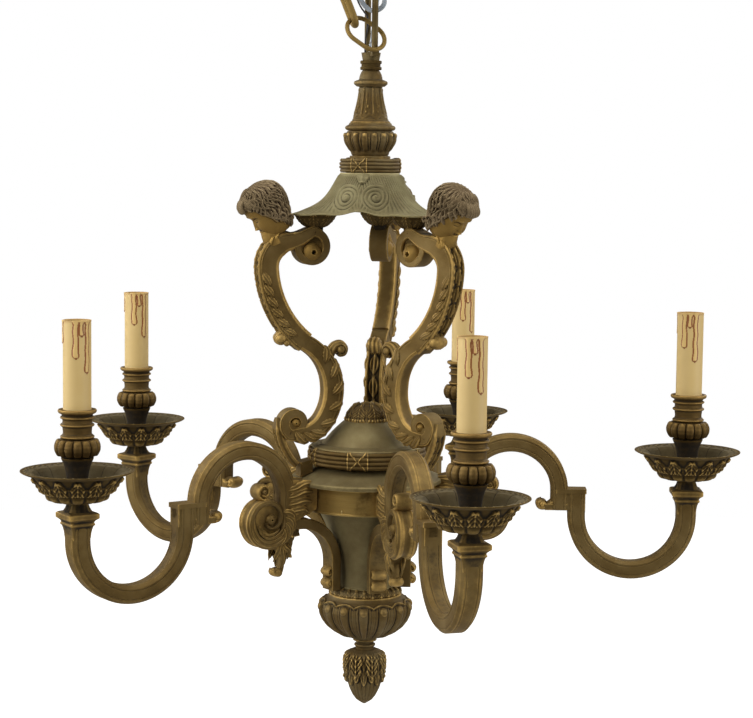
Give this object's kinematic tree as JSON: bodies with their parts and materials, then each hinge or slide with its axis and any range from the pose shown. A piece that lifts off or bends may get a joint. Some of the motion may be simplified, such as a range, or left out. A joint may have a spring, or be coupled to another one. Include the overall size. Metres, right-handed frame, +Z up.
{
  "type": "multi arm chandelier",
  "caption": "Brass chandelier with a scroll lantern and curved arms that carry drip pans and candle lights, hung by a hook from a ceiling plate.",
  "frame": {"origin": "middle of the ceiling plate's top face, against the ceiling", "axes": "+Z up, out of the plate's top face; arm 1 lies along +X"},
  "size_m": [0.7114, 0.7424, 0.8237],
  "materials": {
    "cast_bronze": "cast, brown patina in the hollows, rubbed gold on the edges",
    "olive_bronze": "spun, smooth, grey olive patina",
    "dark_bronze": "dark patina",
    "satin_brass": "satin, brushed round",
    "gilt_bronze": "cast, worn gilding",
    "old_brass": "dull brass",
    "sleeve_card": "tan card with wax drips",
    "holder": "matt",
    "clear_flex": "clear, glossy",
    "black_wire": "matt"
  },
  "bodies": {
    "ceiling": {"ceiling_plate": "dark_bronze", "ceiling_eye": "dark_bronze", "safety_eye": "dark_bronze"},
    "hook": {"s_hook": "dark_bronze"},
    "chandelier": {"hang_loop": "dark_bronze", "collar_nut": "dark_bronze", "neck_cap": "cast_bronze", "vase_neck": "cast_bronze", "neck_ring": "cast_bronze", "gadroon_knop": "cast_bronze", "upper_reeded_ring": "cast_bronze", "crown_canopy": "olive_bronze", "upper_tube": "old_brass", "crown_nut": "old_brass", "dome_cap": "cast_bronze", "bell": "olive_bronze", "lower_reeded_ring": "cast_bronze", "shoulder_disc": "olive_bronze", "drum_band": "satin_brass", "hub": "old_brass", "vase_stem": "olive_bronze", "bead_collar": "cast_bronze", "gadroon_bowl": "cast_bronze", "acorn_finial": "cast_bronze", "lower_tube": "old_brass", "support_screws": "old_brass", "arm_screws": "old_brass", "lampholders": "holder", "supply_flex": "clear_flex", "thin_wire": "black_wire", "scroll_support_1": "cast_bronze", "scroll_support_2": "cast_bronze", "scroll_support_3": "cast_bronze", "putto_head_1": "gilt_bronze", "putto_head_2": "gilt_bronze", "putto_head_3": "gilt_bronze", "arm_1": "cast_bronze", "arm_2": "cast_bronze", "arm_3": "cast_bronze", "arm_4": "cast_bronze", "arm_5": "cast_bronze", "drip_pan_1": "dark_bronze", "drip_pan_2": "dark_bronze", "drip_pan_3": "dark_bronze", "drip_pan_4": "dark_bronze", "drip_pan_5": "dark_bronze", "candle_cup_1": "cast_bronze", "candle_cup_2": "cast_bronze", "candle_cup_3": "cast_bronze", "candle_cup_4": "cast_bronze", "candle_cup_5": "cast_bronze"},
    "link_upper": {"safety_link_upper": "old_brass"},
    "link_lower": {"safety_link_lower": "old_brass"},
    "ring": {"safety_ring": "old_brass"},
    "sleeve_1": {"candle_sleeve_1": "sleeve_card"},
    "sleeve_2": {"candle_sleeve_2": "sleeve_card"},
    "sleeve_3": {"candle_sleeve_3": "sleeve_card"},
    "sleeve_4": {"candle_sleeve_4": "sleeve_card"},
    "sleeve_5": {"candle_sleeve_5": "sleeve_card"}
  },
  "joints": [
    {"name": "hook_swing", "type": "hinge", "parent": "ceiling", "child": "hook", "pos_m": [0, 0, -0.036], "axis": [-0.3256, 0.9455, 0], "range_deg": [-5, 5]},
    {"name": "chandelier_swing", "type": "hinge", "parent": "hook", "child": "chandelier", "pos_m": [0, 0, -0.0747], "axis": [0.9455, 0.3256, 0], "range_deg": [-6, 6]},
    {"name": "upper_link_swing", "type": "hinge", "parent": "ceiling", "child": "link_upper", "pos_m": [-0.04674, -0.01013, -0.03752], "axis": [-0.3256, 0.9455, 0], "range_deg": [-5, 5]},
    {"name": "lower_link_swing", "type": "hinge", "parent": "link_upper", "child": "link_lower", "pos_m": [-0.03312, -0.01013, -0.07342], "axis": [0.9455, 0.3256, 0], "range_deg": [-6, 6]},
    {"name": "ring_lift", "type": "hinge", "parent": "link_lower", "child": "ring", "pos_m": [-0.01613, -0.01013, -0.11547], "axis": [0.193, -0.9781, 0.078], "range_deg": [0, 12]},
    {"name": "sleeve_lift_1", "type": "slide", "parent": "chandelier", "child": "sleeve_1", "axis": [0, 0, 1], "range_m": [0, 0.09]},
    {"name": "sleeve_lift_2", "type": "slide", "parent": "chandelier", "child": "sleeve_2", "axis": [0, 0, 1], "range_m": [0, 0.09]},
    {"name": "sleeve_lift_3", "type": "slide", "parent": "chandelier", "child": "sleeve_3", "axis": [0, 0, 1], "range_m": [0, 0.09]},
    {"name": "sleeve_lift_4", "type": "slide", "parent": "chandelier", "child": "sleeve_4", "axis": [0, 0, 1], "range_m": [0, 0.09]},
    {"name": "sleeve_lift_5", "type": "slide", "parent": "chandelier", "child": "sleeve_5", "axis": [0, 0, 1], "range_m": [0, 0.09]}
  ],
  "couplings": [
    {"joint": "upper_link_swing", "follows": "hook_swing", "ratio": 1},
    {"joint": "lower_link_swing", "follows": "chandelier_swing", "ratio": 1}
  ]
}
